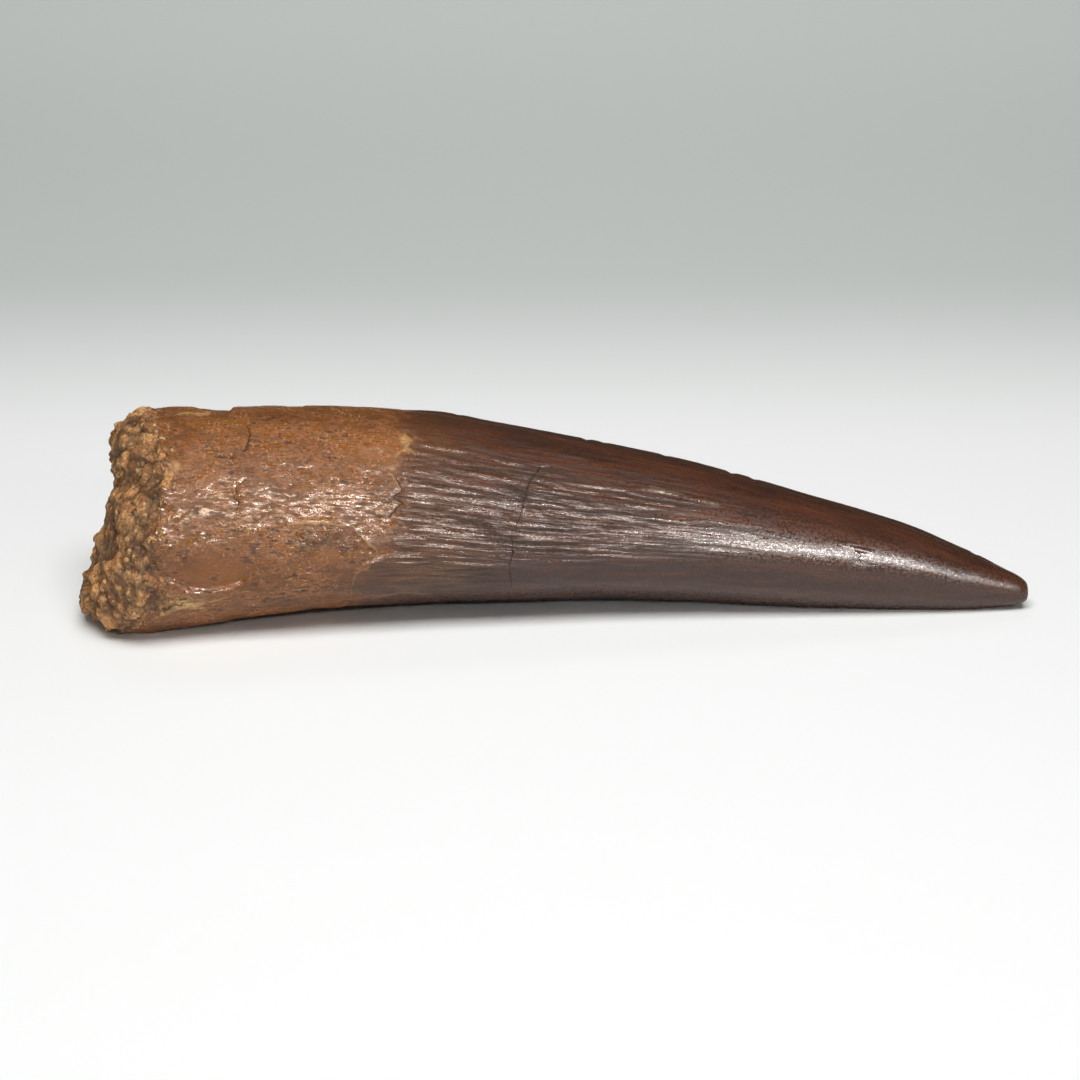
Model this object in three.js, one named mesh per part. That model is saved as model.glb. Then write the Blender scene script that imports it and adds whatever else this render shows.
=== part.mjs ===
// A fossil dinosaur tooth with its broken root, lying on a table with its outer face up.
// Millimetres. X runs from the broken root to the tip, Z is up and the table is the plane Z = 0.
import * as THREE from "three";
import { mergeVertices } from "three/addons/utils/BufferGeometryUtils.js";
import { ImprovedNoise } from "three/addons/math/ImprovedNoise.js";

// Driving dimensions of the whole tooth
const LENGTH = 120;
const LEAN = THREE.MathUtils.degToRad(24);
const DEPTH_TO_HEIGHT = 0.86;
const TABLE_LEVEL = -0.06;

// The two edges seen square on to the outer face: the long convex edge above, the concave edge below
const OUTLINE = [
  { along: 0, convex: 25.1, concave: -3.3 },
  { along: 7, convex: 25.4, concave: -3.1 },
  { along: 14, convex: 25.4, concave: -2.1 },
  { along: 23, convex: 25.6, concave: -0.7 },
  { along: 33, convex: 25.5, concave: 0.4 },
  { along: 44, convex: 24.8, concave: 1.3 },
  { along: 55, convex: 22.9, concave: 1.5 },
  { along: 66, convex: 20.8, concave: 1.8 },
  { along: 78, convex: 18.2, concave: 1.5 },
  { along: 92, convex: 14.2, concave: 0.7 },
  { along: 104, convex: 10.6, concave: 0.3 },
  { along: 113, convex: 6.8, concave: 0.3 },
  { along: 120, convex: 3.9, concave: 0.6 },
];

// Sideways bend, the shape of a section and the blunt tip
const ROOT_BEND = 4;
const BEND_END = 62;
const ROOT_SQUARENESS = 2.2;
const CROWN_SQUARENESS = 1.85;
const KEEL_DROP = 0.26;
const KEEL_FROM = [0, 62];
const KEEL_TO = [62, 108];
const TIP_LENGTH = 3.2;
const TIP_POWER = 3.4;

// Broken end of the root, covered in lumps of sandstone
const BREAK_SECTION = 6;
const BREAK_START = 1.9;
const BREAK_SLOPE = 0.13;
const NEAR_CUT = 4.2;
const FAR_CUT = 3;
const RIM_ROUND = 4.4;
const LUMP_HEIGHT = 1.1;
const LUMP_SIZE = 4.6;
const PIT_HEIGHT = 0.55;
const PIT_SIZE = 1.9;
const CRUST_END = 5;

// Knobs and hollows of the broken end: where across it and towards its face, how wide, how tall
const KNOBS = [
  { across: 22, face: -5, wide: 4, tall: 2.6 },
  { across: 17.2, face: -6, wide: 2.8, tall: -1.6 },
  { across: 2, face: -1, wide: 4.2, tall: 2.4 },
  { across: 9, face: 6, wide: 3, tall: -0.8 },
];

// Crown: its edge on the root, its lengthwise flutes and its two cutting edges
const CROWN_LINE = 38.5;
const CROWN_LINE_SLANT = 3.6;
const CROWN_STEP = 0.16;
const FLUTES = 48;
const FLUTE_HEIGHT = 0.16;
const FLUTE_FADE = [80, 99];
const EDGE_HEIGHT = 0.3;
const EDGE_WIDTH = 0.09;

// Chips in the root: where along and around the tooth, how long and wide, how deep
const UP = Math.PI / 2;
const CHIPS = [
  { along: 17.4, turn: UP - 0.05, long: 2.3, wide: 0.5, deep: 0.55 },
  { along: 12.2, turn: 0.12, long: 1.5, wide: 0.13, deep: 0.8 },
  { along: 15.2, turn: -0.92, long: 3.4, wide: 0.2, deep: 0.7 },
  { along: 98.6, turn: 0.16, long: 1.2, wide: 0.2, deep: 0.25 },
  { along: 26, turn: UP + 1.4, long: 4, wide: 0.35, deep: 0.5 },
  { along: 31, turn: UP + 2.1, long: 3, wide: 0.3, deep: 0.4 },
];

// Rows of points: across the broken end, then along the tooth in three zones
const SEGMENTS = 96;
const BREAK_ROWS = 12;
const ZONES = [
  { to: 38, rows: 12 },
  { to: 112, rows: 14 },
  { to: 117, rows: 2 },
  { to: LENGTH, rows: 5 },
];
const ROWS = BREAK_ROWS + ZONES.reduce((sum, zone) => sum + zone.rows, 0);

const { smoothstep, clamp, lerp } = THREE.MathUtils;
const noise = new ImprovedNoise();
const edges = new THREE.CubicInterpolant(
  OUTLINE.map((station) => station.along),
  OUTLINE.flatMap((station) => [station.convex, station.concave]),
  2,
);

// A value raised to a power with its sign kept
function signedPower(value, power) {
  return Math.sign(value) * Math.abs(value) ** power;
}

// The difference between two turns about the tooth, between minus and plus half a turn
function turnBetween(turn, other) {
  return Math.atan2(Math.sin(turn - other), Math.cos(turn - other));
}

// Middle and half sizes of the section at a place along the tooth, closing to a point at the tip
function sectionAt(along) {
  const [convex, concave] = edges.evaluate(along);
  const intoTip = clamp((along - LENGTH + TIP_LENGTH) / TIP_LENGTH, 0, 1);
  const half = ((convex - concave) / 2) * (1 - intoTip ** TIP_POWER) ** (1 / TIP_POWER);
  return {
    across: (convex + concave) / 2,
    face: ROOT_BEND * (1 - smoothstep(along, 0, BEND_END)),
    halfAcross: half,
    halfFace: half * DEPTH_TO_HEIGHT,
  };
}

// Point on the section's outline from its middle: a rounded square on the root, a keeled lens on the crown
function outlineFrom(along, turn) {
  const size = sectionAt(along);
  const crown = smoothstep(along, 36, 80);
  const power = 2 / lerp(ROOT_SQUARENESS, CROWN_SQUARENESS, crown);
  const rise = signedPower(Math.sin(turn), power);
  const drop = KEEL_DROP * smoothstep(along, ...KEEL_FROM) * (1 - smoothstep(along, ...KEEL_TO));
  return {
    across: size.halfAcross * (rise - drop * (1 - rise * rise)),
    face: size.halfFace * signedPower(Math.cos(turn), power),
  };
}

// Place along the tooth of the crown's ragged edge
function crownLine(turn) {
  const ragged = noise.noise(2.1 * Math.cos(turn), 2.1 * Math.sin(turn), 7.3);
  return CROWN_LINE + CROWN_LINE_SLANT * Math.sin(turn) + 1.6 * ragged;
}

// Height of the flutes, each of its own strength, fading towards the tip
function fluteHeight(along, turn) {
  const start = crownLine(turn);
  const fade = smoothstep(along, start, start + 4) * (1 - smoothstep(along, ...FLUTE_FADE));
  const strength = 0.75 + 0.6 * noise.noise(5 * Math.cos(turn), 5 * Math.sin(turn), along / 30);
  return FLUTE_HEIGHT * fade * strength * Math.cos(FLUTES * turn);
}

// Height of the thin cutting edges on the crown's two sides
function edgeHeight(along, turn) {
  const start = crownLine(turn);
  const fade = smoothstep(along, start, start + 5) * (1 - smoothstep(along, 112, 118));
  const away = Math.min(Math.abs(turnBetween(turn, UP)), Math.abs(turnBetween(turn, -UP)));
  return EDGE_HEIGHT * fade * Math.exp(-((away / EDGE_WIDTH) ** 2));
}

// Depth of the chips broken out of the surface
function chipDepth(along, turn) {
  return CHIPS.reduce((sum, chip) => {
    const far = Math.hypot((along - chip.along) / chip.long, turnBetween(turn, chip.turn) / chip.wide);
    return sum + chip.deep * (1 - smoothstep(far, 0.35, 1));
  }, 0);
}

// Height of the sandstone lumps at a point, large and small together
function lumpHeight(along, across, face) {
  const large = noise.noise(along / LUMP_SIZE, across / LUMP_SIZE, face / LUMP_SIZE + 3.7);
  const small = noise.noise(along / PIT_SIZE, across / PIT_SIZE + 11.2, face / PIT_SIZE);
  return LUMP_HEIGHT * large + PIT_HEIGHT * small;
}

// How far the knobs stand out of the broken end
function knobHeight(across, face) {
  return KNOBS.reduce((sum, knob) => {
    const far = Math.hypot(across - knob.across, face - knob.face) / knob.wide;
    return sum + knob.tall * Math.exp(-far * far);
  }, 0);
}

// Place along the tooth of the broken end: it slants out to its foot and is cut back on the near side
function breakAt(from, reach) {
  const size = sectionAt(BREAK_SECTION);
  const across = size.across + reach * from.across;
  const face = reach * from.face;
  const share = face / size.halfFace;
  const cut = share > 0 ? NEAR_CUT * share ** 1.5 : FAR_CUT * share ** 2;
  return BREAK_START + BREAK_SLOPE * across + cut + RIM_ROUND * reach ** 6 - knobHeight(across, face);
}

// Place along the tooth of the broken end's rim
function rimAt(turn) {
  return breakAt(outlineFrom(BREAK_SECTION, turn), 1);
}

// A point of the broken end, at a share of the way from its middle to its rim
function breakPoint(reach, turn) {
  const size = sectionAt(BREAK_SECTION);
  const from = outlineFrom(BREAK_SECTION, turn);
  const along = breakAt(from, reach);
  const across = size.across + reach * from.across;
  const face = size.face + reach * from.face;
  const outward = new THREE.Vector3(0, from.across, from.face).normalize().multiplyScalar(reach ** 4);
  outward.x = reach ** 4 - 1;
  const lump = lumpHeight(along, across, face);
  return new THREE.Vector3(along, across, face).addScaledVector(outward.normalize(), lump);
}

// A point of the tooth's side, with all of its relief
function sidePoint(along, turn) {
  const size = sectionAt(along);
  const from = outlineFrom(along, turn);
  const crust = 1 - smoothstep(along - rimAt(turn), 0.5, CRUST_END);
  let relief = CROWN_STEP * smoothstep(along, crownLine(turn) - 0.8, crownLine(turn) + 0.8);
  relief += fluteHeight(along, turn) + edgeHeight(along, turn) - chipDepth(along, turn);
  relief += crust * lumpHeight(along, size.across + from.across, size.face + from.face);
  relief *= 1 - smoothstep(along, LENGTH - TIP_LENGTH, LENGTH);
  const grown = 1 + relief / Math.max(Math.hypot(from.across, from.face), 0.5);
  return new THREE.Vector3(along, size.across + grown * from.across, size.face + grown * from.face);
}

// A row's place along the side, from the rim of the broken end to the tip
function alongRow(row, turn) {
  let start = rimAt(turn);
  let left = row;
  for (const zone of ZONES) {
    if (left <= zone.rows) {
      return lerp(start, zone.to, left / zone.rows);
    }
    left -= zone.rows;
    start = zone.to;
  }
  return LENGTH;
}

// The whole surface: a ball whose rows of points are laid over the broken end and then along the side
function toothGeometry() {
  const ball = new THREE.SphereGeometry(1, SEGMENTS, ROWS);
  const points = ball.attributes.position;
  for (let i = 0; i < points.count; i += 1) {
    const row = Math.floor(i / (SEGMENTS + 1));
    const turn = ((i % (SEGMENTS + 1)) / SEGMENTS) * 2 * Math.PI;
    const onBreak = row <= BREAK_ROWS;
    const place = onBreak
      ? breakPoint((row / BREAK_ROWS) ** 0.8, turn)
      : sidePoint(alongRow(row - BREAK_ROWS, turn), turn);
    points.setXYZ(i, place.x, -place.z, place.y);
  }
  ball.deleteAttribute("normal");
  ball.deleteAttribute("uv");
  return mergeVertices(ball, 1e-4);
}

// Lean the tooth back as it lies, rest its underside flat on the table and centre it
function layOnTable(geometry) {
  geometry.rotateX(-LEAN);
  const points = geometry.attributes.position;
  for (let i = 0; i < points.count; i += 1) {
    points.setZ(i, Math.max(points.getZ(i), TABLE_LEVEL));
  }
  geometry.computeBoundingBox();
  const middle = geometry.boundingBox.getCenter(new THREE.Vector3());
  geometry.translate(-middle.x, -middle.y, -geometry.boundingBox.min.z);
  geometry.computeVertexNormals();
  return geometry;
}

const fossil = new THREE.MeshStandardMaterial({ color: 0x7c5338, roughness: 0.45, metalness: 0 });
const tooth = new THREE.Mesh(layOnTable(toothGeometry()), fossil);
tooth.name = "tooth";

const group = new THREE.Group();
group.add(tooth);
export default group;
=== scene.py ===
"""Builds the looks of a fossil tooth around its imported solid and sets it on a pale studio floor."""

import math

import bpy
import numpy as np
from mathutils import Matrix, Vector, noise


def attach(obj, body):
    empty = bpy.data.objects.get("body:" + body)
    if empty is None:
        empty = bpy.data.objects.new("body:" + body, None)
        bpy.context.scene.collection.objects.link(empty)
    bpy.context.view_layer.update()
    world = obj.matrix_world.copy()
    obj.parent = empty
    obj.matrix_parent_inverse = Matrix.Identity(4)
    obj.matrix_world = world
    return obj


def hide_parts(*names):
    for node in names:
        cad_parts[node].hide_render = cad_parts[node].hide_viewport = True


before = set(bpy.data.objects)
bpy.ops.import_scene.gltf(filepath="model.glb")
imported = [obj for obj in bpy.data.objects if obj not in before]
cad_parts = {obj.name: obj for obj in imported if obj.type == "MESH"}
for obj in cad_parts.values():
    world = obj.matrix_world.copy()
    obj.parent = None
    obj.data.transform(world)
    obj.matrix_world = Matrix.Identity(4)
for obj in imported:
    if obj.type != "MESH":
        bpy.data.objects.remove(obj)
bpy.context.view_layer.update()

bl_info = {
    "name": "Fossil Tooth",
    "version": (1, 0, 0),
    "blender": (4, 5, 0),
    "location": "View3D > Sidebar > Fossil",
    "description": "Builds a fossil tooth with its broken root and a studio to show it in",
    "category": "Object",
}

MM = 0.001
UP = math.pi / 2

# The tooth's two edges as in the part's source: place along it, convex edge, concave edge, in millimetres
OUTLINE = np.array([
    (0, 25.1, -3.3), (7, 25.4, -3.1), (14, 25.4, -2.1), (23, 25.6, -0.7), (33, 25.5, 0.4),
    (44, 24.8, 1.3), (55, 22.9, 1.5), (66, 20.8, 1.8), (78, 18.2, 1.5), (92, 14.2, 0.7),
    (104, 10.6, 0.3), (113, 6.8, 0.3), (120, 3.9, 0.6),
])
LENGTH = 120.0
LEAN = math.radians(24)
LEAN_SINE, LEAN_COSINE = math.sin(LEAN), math.cos(LEAN)
LEAN_ORIGIN = (60.035, 1.2015, -0.06)
DEPTH_TO_HEIGHT = 0.86
ROOT_BEND = 4.0
BEND_END = 62.0
ROOT_SQUARENESS = 2.2
CROWN_SQUARENESS = 1.85
SQUARENESS_CHANGE = (36, 80)
KEEL_DROP = 0.26
KEEL_PEAK = 62.0
KEEL_END = 108.0
TIP_LENGTH = 3.2
TIP_POWER = 3.4
BREAK_START = 1.9
BREAK_SLOPE = 0.13
BREAK_SECTION = 6.0
NEAR_CUT = 4.2
FAR_CUT = 3.0
RIM_ROUND = 4.4
SIDE_START = 38.0

# Knobs and hollows of the broken end: across, towards the face, width, height
KNOBS = ((22, -5, 4, 2.6), (17.2, -6, 2.8, -1.6), (2, -1, 4.2, 2.4), (9, 6, 3, -0.8))

# The block-out tube: its radius, its columns around, and the rows in each stretch along it
BLOCK_RADIUS = 14.0
COLUMNS = 84
ROW_ZONES = ((0.0, 10.0, 10), (10.0, 44.0, 28), (44.0, 112.0, 24), (112.0, 117.0, 3), (117.0, 120.0, 4))

# Edge of the crown on the root: turn about the tooth in degrees, place along it
CROWN_EDGE = np.array([
    (-180, 40), (-120, 37.5), (-90, 35), (-62, 34.6), (-32, 35.6), (-18, 38.6), (-8, 39.4), (3, 39.9),
    (10, 41.2), (13, 40.2), (17, 41.3), (24, 40.4), (44, 41.8), (48, 42.2), (60, 40.3), (90, 41.4),
    (130, 42), (180, 40),
])

# How far the sandstone crust reaches past the rim: turn in degrees, reach
CRUST_REACH = np.array([
    (-180, 1.2), (-110, 2.4), (-75, 1.0), (-60, 2.0), (-50, 3.6), (-42, 3.0), (-34, 1.4), (-20, 0.4),
    (0, 0.2), (14, 0.0), (20, 0.8), (28, 0.2), (45, -0.5), (70, -0.4), (90, 0.4), (140, 0.8), (180, 1.2),
])

# Cracks on the outer face, as points along and across it
CRACKS = (
    ((22.3, 23.0), (22.7, 21.6), (22.5, 19.8), (21.9, 19.3)),
    ((22.6, 16.1), (21.5, 15.2), (21.3, 13.8), (21.9, 13.0), (21.3, 12.3)),
    ((58.2, 17.8), (56.8, 16.2), (56.0, 13.7), (55.6, 11.9), (55.0, 10.2)),
    ((54.3, 9.4), (54.7, 8.6), (54.7, 7.2), (54.3, 5.6), (54.4, 2.6)),
    ((97.2, 8.1), (97.4, 7.5), (97.9, 7.0), (97.7, 6.4), (98.1, 5.6)),
    ((40.3, 16.8), (40.9, 15.7), (41.4, 14.9), (40.2, 14.0), (41.2, 13.3), (40.2, 12.3), (39.6, 11.4)),
    ((14.2, 3.6), (15.7, 2.6), (17.5, 2.3), (20.0, 2.8)),
    ((12.0, 0.2), (13.5, 0.8), (15.2, 1.2), (16.6, 1.5)),
    ((12.5, 1.5), (14.2, 1.8), (16.2, 1.9)),
)

# Raised lines on the outer face that catch the light: points, height
RIDGES = (
    (((27.5, 10.6), (29.0, 11.0), (32.0, 10.9), (35.1, 10.5), (36.8, 8.9), (38.4, 7.2)), 0.10),
    (((38.4, 7.0), (36.8, 5.4), (35.6, 4.8), (34.8, 2.6), (34.6, 1.1)), 0.08),
    (((17.8, 1.3), (19.8, 2.0), (21.4, 2.4), (22.6, 2.6)), 0.12),
    (((11.6, -0.4), (13.0, 0.3), (14.6, 0.8), (16.0, 1.3)), 0.30),
    (((12.3, 0.9), (13.8, 1.3), (15.4, 1.8), (17.2, 1.6)), 0.26),
    (((12.8, 2.2), (14.2, 2.3), (15.6, 2.1)), 0.22),
    (((54.9, 8.8), (57.5, 8.9), (61.1, 8.6)), 0.12),
    (((56.5, 7.9), (59.5, 8.0), (62.9, 7.7), (66.0, 7.4)), 0.14),
    (((71.0, 15.4), (75.0, 14.5), (77.3, 13.8), (80.3, 13.3)), 0.12),
    (((37.2, 1.7), (41.0, 2.5), (44.7, 2.2)), 0.14),
    (((41.0, 21.9), (42.2, 21.1), (41.7, 20.3), (41.0, 19.6), (40.2, 19.0)), 0.12),
    (((39.4, 17.1), (40.2, 16.2), (41.0, 15.4)), 0.10),
    (((13.0, 23.9), (15.0, 24.4), (17.4, 24.7)), 0.12),
    (((96.0, 8.4), (97.3, 7.7), (98.9, 7.3)), 0.10),
)

# Smooth scoop low on the root above a splintered lip: places along, its lower edge, its upper edge
SCOOP = np.array([
    (11.6, 4.0, 4.6), (12.8, 3.9, 5.4), (14.0, 3.5, 5.9), (15.7, 2.5, 6.3), (17.5, 2.3, 6.7),
    (20.0, 2.7, 6.9), (21.9, 3.3, 6.6), (23.3, 4.6, 6.0), (25.0, 5.4, 5.6),
])

# How the broken end's crust stands out or back from the solid: across, width, shift along
CRUST_SWELLS = ((23.6, 1.8, -0.9), (16.8, 2.4, 0.75), (12.6, 2.0, 0.55), (-0.5, 2.6, -0.45))

# Stains: along, across, half length, half width, kind and strength
STAINS = (
    (18.5, 4.8, 5.2, 2.4, "ochre", 0.75),
    (38.0, 20.0, 5.2, 2.4, "ochre", 0.9),
    (27.0, 22.2, 6.0, 1.6, "ochre", 0.2),
    (18.0, 15.0, 4.5, 2.6, "ochre", 0.3),
    (32.5, 6.6, 3.6, 1.3, "ochre", 0.8),
    (37.2, 6.6, 1.8, 1.6, "ochre", 0.6),
    (41.5, 20.6, 1.0, 1.3, "pale", 0.8),
    (43.2, 19.0, 2.2, 0.6, "pale", 0.5),
    (40.3, 17.7, 1.0, 0.5, "pale", 0.8),
    (14.4, 1.2, 3.2, 1.1, "pale", 1.0),
    (97.9, 5.2, 0.5, 0.5, "pale", 0.8),
    (14.0, 17.6, 0.9, 0.8, "pale", 0.5),
    (26.0, 24.0, 7.0, 1.4, "umber_and_top_shade", 0.45),
    (30.0, 8.8, 1.6, 1.2, "umber_and_top_shade", 0.75),
    (33.5, 7.6, 5.4, 3.0, "umber_and_top_shade", 0.55),
    (34.0, 3.0, 4.0, 1.6, "umber_and_top_shade", 0.5),
    (26.0, 1.0, 7.0, 1.4, "umber_and_top_shade", 0.5),
    (22.0, 18.0, 2.2, 2.6, "umber_and_top_shade", 0.3),
    (38.5, 13.5, 2.2, 3.2, "umber_and_top_shade", 0.45),
    (36.0, 24.4, 5.0, 1.6, "umber_and_top_shade", 0.5),
    (89.0, 9.4, 0.9, 0.7, "umber_and_top_shade", 0.9),
    (90.4, 8.4, 1.0, 0.6, "umber_and_top_shade", 0.8),
    (45.0, 5.0, 8.0, 3.4, "gold", 0.6),
    (50.0, 8.0, 5.0, 1.6, "gold", 0.35),
    (46.0, 19.4, 4.0, 2.0, "gold", 0.3),
    (75.0, 12.6, 6.0, 1.6, "gold", 0.2),
    (117.0, 3.4, 3.5, 3.5, "gold", 0.2),
)

# Stretches along the tooth over which a form comes or goes
NOTCH_START, NOTCH_END = (14.4, 18.0), (19.4, 20.0)
SCOOP_START, SCOOP_END = (11.4, 13.4), (21.5, 25.0)
FLUTE_END = (58, 92)
SMOOTH_FLANK_START = (50, 60)
TIP_START = (112, 118)

# Turns about the tooth, in degrees, between which the flutes are tall and below which the flank is smooth
FLUTES_FROM, FLUTES_TO = (-62, -8), (38, 64)
SMOOTH_FLANK_TO = (-34, 2)

# Relief that the panel doesn't offer: heights, depths and widths in millimetres
ROOT_WAVES, ROOT_RIPPLES, ROOT_GRAIN = 0.14, 0.05, 0.025
FLAKE_STEP = 0.12
ROOT_PIT_DEPTH, CRUST_PIT_DEPTH = 0.22, 0.5
NOTCH_DEPTH, SCOOP_DEPTH = 0.5, 0.6
RIDGE_WIDTH = 0.24
CRACK_DEPTH, CRACK_WIDTH = 0.14, 0.22
CROWN_STEP, CROWN_WAVES = 0.12, 0.05
COBBLE_SIZE, SMALL_COBBLE_SIZE = 2.5, 1.15

# Widths of the cutting edges and of the dark line on the upper one, which is partly painted shade, in radians
# about the tooth
EDGE_WIDTH, KEEL_WIDTH = 0.075, 0.11

# How far from a line its distance is told, and the radius that the grain's coordinates are laid out on
LINE_REACH = 3.0
FLOW_RADIUS = 12.0

# The studio in metres: the floor and where painted shade turns it grey behind the tooth, the strip lights'
# place, and the picture's middle
FLOOR_SIZE = 4.0
SHADE_FROM, SHADE_TO = 0.05, 0.15
BACK_SPREAD = math.radians(100)
STRIP_Y, STRIP_Z, STRIP_WIDTH = -0.35, 0.24, 0.03
PICTURE_MIDDLE = (-0.002025, 0.001257, 0.008579)
SENSOR_WIDTH = 36

# Strip lights that only show in the gloss: name, middle, length, share of the power, colour
GLEAMS = (
    ("gleam_root", -0.075, 0.33, 0.26, (1.0, 0.8, 0.6)),
    ("gleam_crown", 0.22, 0.28, 0.74, (1.0, 0.95, 0.92)),
)


def srgb(red, green, blue):
    """A display colour of 0 to 255 as the linear colour that shaders use."""
    def linear(value):
        value /= 255
        return value / 12.92 if value <= 0.04045 else ((value + 0.055) / 1.055) ** 2.4
    return (linear(red), linear(green), linear(blue))


def smoothstep(value, low, high):
    """A smooth rise from 0 at low to 1 at high."""
    share = np.clip((value - low) / (high - low), 0, 1)
    return share * share * (3 - 2 * share)


def signed_power(value, power):
    """A value raised to a power with its sign kept."""
    return np.sign(value) * np.abs(value) ** power


def smooth_curve(along, column):
    """A smooth curve through one column of the outline."""
    places, values = OUTLINE[:, 0], OUTLINE[:, column]
    slopes = np.gradient(values, places)
    slopes[1:-1] = (values[2:] - values[:-2]) / (places[2:] - places[:-2])
    index = np.clip(np.searchsorted(places, along) - 1, 0, len(places) - 2)
    step = places[index + 1] - places[index]
    t = np.clip((along - places[index]) / step, 0, 1)
    start = (2 * t**3 - 3 * t**2 + 1) * values[index] + (t**3 - 2 * t**2 + t) * step * slopes[index]
    end = (3 * t**2 - 2 * t**3) * values[index + 1] + (t**3 - t**2) * step * slopes[index + 1]
    return start + end


def section(along):
    """Middle across and towards the face, and half sizes, of the section at places along the tooth."""
    convex, concave = smooth_curve(along, 1), smooth_curve(along, 2)
    into_tip = np.clip((along - LENGTH + TIP_LENGTH) / TIP_LENGTH, 0, 1)
    half = (convex - concave) / 2 * (1 - into_tip**TIP_POWER) ** (1 / TIP_POWER)
    bend = ROOT_BEND * (1 - smoothstep(along, 0, BEND_END))
    return (convex + concave) / 2, bend, half, half * DEPTH_TO_HEIGHT


def section_shape(along):
    """The power of a section's outline and how far its keel drops below its middle."""
    change = smoothstep(along, *SQUARENESS_CHANGE)
    squareness = ROOT_SQUARENESS + (CROWN_SQUARENESS - ROOT_SQUARENESS) * change
    drop = KEEL_DROP * smoothstep(along, 0, KEEL_PEAK) * (1 - smoothstep(along, KEEL_PEAK, KEEL_END))
    return 2 / squareness, drop


def outline_from(along, turn):
    """The section's outline from its middle, across and towards the face."""
    _, _, half_across, half_face = section(along)
    power, drop = section_shape(along)
    rise = signed_power(np.sin(turn), power)
    return half_across * (rise - drop * (1 - rise * rise)), half_face * signed_power(np.cos(turn), power)


def on_face(along, across):
    """The point of the outer face at a place along and across the tooth."""
    along, across = np.float64(along), np.float64(across)
    middle, bend, half_across, half_face = section(along)
    power, drop = section_shape(along)
    share = np.clip((across - middle) / half_across, -1, 1)
    drop = max(drop, 1e-6)
    rise = np.clip((math.sqrt(max(0, 1 + 4 * drop * (drop + share))) - 1) / (2 * drop), -1, 1)
    sine = signed_power(rise, 1 / power)
    return np.array((along, across, bend + half_face * max(0, 1 - sine * sine) ** (power / 2)))


def break_place(across, face, reach):
    """Place along the tooth of its broken end, face counted from the middle of the section."""
    _, _, _, half_face = section(np.float64(BREAK_SECTION))
    share = face / half_face
    cut = np.where(share > 0, NEAR_CUT * np.abs(share) ** 1.5, FAR_CUT * share**2)
    place = BREAK_START + BREAK_SLOPE * across + cut + RIM_ROUND * reach**6
    for knob_across, knob_face, width, height in KNOBS:
        far = np.hypot(across - knob_across, face - knob_face) / width
        place = place - height * np.exp(-far * far)
    return place


def rim_place(turn):
    """Place along the tooth of the broken end's rim."""
    across, face = outline_from(np.full_like(turn, BREAK_SECTION), turn)
    return break_place(section(np.float64(BREAK_SECTION))[0] + across, face, 1.0)


def by_turn(table, turn):
    """A value read from a table of turns in degrees."""
    return np.interp(np.degrees(turn), table[:, 0], table[:, 1])


def noise_at(points, size, seed=0.0):
    """Noise of about -1 to 1 at each point, with features of a size."""
    spread = points / size + np.array((seed * 3.1, seed * 7.7, seed * 1.9))
    return np.array([noise.noise(point) for point in spread.tolist()])


def cobbles_at(points, size, seed=0.0):
    """How deep each point lies in its cobble, 0 in the gaps between them, and the cobble's own tone."""
    inside, tone = np.zeros(len(points)), np.zeros(len(points))
    for index, point in enumerate((points / size + seed).tolist()):
        distances, places = noise.voronoi(point)
        inside[index] = distances[1] - distances[0]
        tone[index] = 0.5 + 0.5 * noise.cell(places[0])
    return inside, tone


def side_of_path(places, path):
    """Signed distance from flat places to a path, cut off at the line's reach and past the path's ends."""
    nearest = np.full(len(places), 1e3)
    for index, (start, end) in enumerate(zip(path, path[1:])):
        leg = np.subtract(end, start)
        offset = places - start
        share = offset @ leg / (leg @ leg)
        past = ((share < 0) & (index == 0)) | ((share > 1) & (index == len(path) - 2))
        far = np.linalg.norm(offset - np.clip(share, 0, 1)[:, None] * leg, axis=1)
        far = np.where(past, np.maximum(far, LINE_REACH), far)
        side = np.where(leg[0] * offset[:, 1] < leg[1] * offset[:, 0], -far, far)
        nearest = np.where(far < np.abs(nearest), side, nearest)
    return np.clip(nearest, -LINE_REACH, LINE_REACH)


def deselect_all():
    """Leaves nothing selected and Blender in object mode."""
    if bpy.context.object and bpy.context.object.mode != "OBJECT":
        bpy.ops.object.mode_set(mode="OBJECT")
    bpy.ops.object.select_all(action="DESELECT")


def apply_modifier(piece, kind, **settings):
    """Adds a modifier to a piece and applies it."""
    modifier = piece.modifiers.new(kind.title(), kind)
    for name, value in settings.items():
        setattr(modifier, name, value)
    bpy.context.view_layer.objects.active = piece
    bpy.ops.object.modifier_apply(modifier=modifier.name)


def block_out_tube():
    """A straight tube along X with a row at each station, its root end filled and its tip closed."""
    stations = [0.0]
    for start, end, rows in ROW_ZONES:
        stations += [start + (end - start) * (row + 1) / rows for row in range(rows)]
    deselect_all()
    bpy.ops.mesh.primitive_circle_add(
        vertices=COLUMNS, radius=BLOCK_RADIUS * MM, location=(0, 0, 0), rotation=(0, UP, 0)
    )
    tube = bpy.context.object
    tube.name = "fossil_tooth"
    bpy.ops.object.transform_apply(location=True, rotation=True, scale=True)
    bpy.ops.object.mode_set(mode="EDIT")
    bpy.ops.mesh.select_mode(type="EDGE")
    bpy.ops.mesh.select_all(action="SELECT")
    for here, there in zip(stations, stations[1:]):
        bpy.ops.mesh.extrude_edges_move(TRANSFORM_OT_translate={"value": ((there - here) * MM, 0, 0)})
    bpy.ops.mesh.merge(type="CENTER")
    bpy.ops.mesh.select_all(action="DESELECT")
    bpy.ops.mesh.select_non_manifold()
    bpy.ops.mesh.fill_grid(span=COLUMNS // 4)
    bpy.ops.mesh.select_all(action="SELECT")
    bpy.ops.mesh.normals_make_consistent(inside=False)
    bpy.ops.object.mode_set(mode="OBJECT")
    apply_modifier(tube, "SUBSURF", subdivision_type="SIMPLE", levels=2, render_levels=2)
    return tube


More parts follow.
